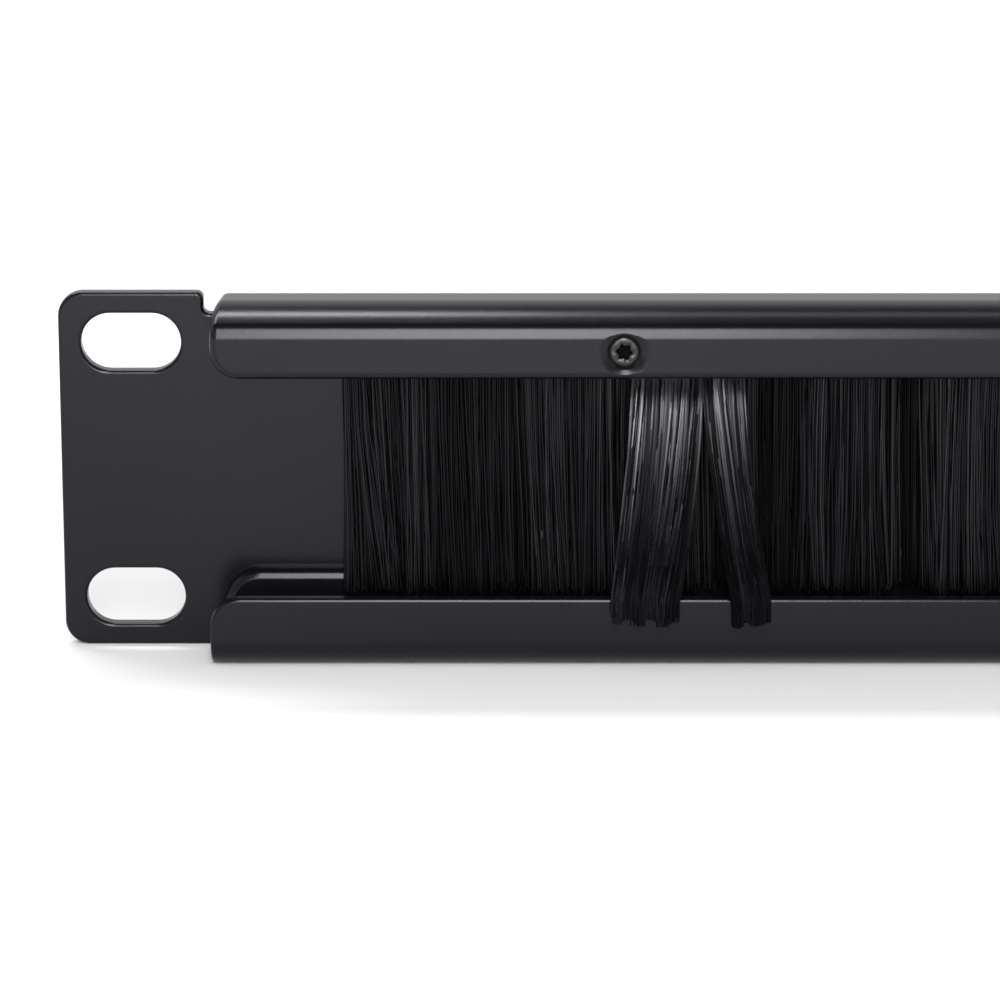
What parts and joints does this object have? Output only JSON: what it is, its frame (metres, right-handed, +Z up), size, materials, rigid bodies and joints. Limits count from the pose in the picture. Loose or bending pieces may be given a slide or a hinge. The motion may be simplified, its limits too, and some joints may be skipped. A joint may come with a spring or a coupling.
{
  "type": "rack brush strip panel",
  "caption": "Folded black rack panel with slotted ears, a cable window closed by a curtain of bristles, a hood that holds the brush and a U-shaped cable tray at its foot.",
  "frame": {"origin": "centre of the four rack slots, on the rear face of the ears", "axes": "+X along the panel to the right seen from the front, +Y into the rack, +Z up"},
  "size_m": [0.4826, 0.0152, 0.044],
  "materials": {
    "black_coat": "satin black powder coat with a fine grain",
    "holder_aluminium": "plain mill finish, hidden behind the return",
    "strip_steel": "bright galvanised",
    "bristle_nylon": "black nylon filament with a soft gloss",
    "screw_steel": "black oxide steel"
  },
  "bodies": {
    "root": {"main_panel": "black_coat", "cable_tray": "black_coat", "brush_holder": "holder_aluminium", "strip_channel": "strip_steel", "core_wire": "strip_steel", "front_bristles": "bristle_nylon", "rear_bristles": "bristle_nylon", "left_lock": "bristle_nylon", "right_lock": "bristle_nylon", "brush_screw_1": "screw_steel", "brush_screw_2": "screw_steel", "brush_screw_3": "screw_steel", "brush_screw_4": "screw_steel"}
  },
  "joints": []
}
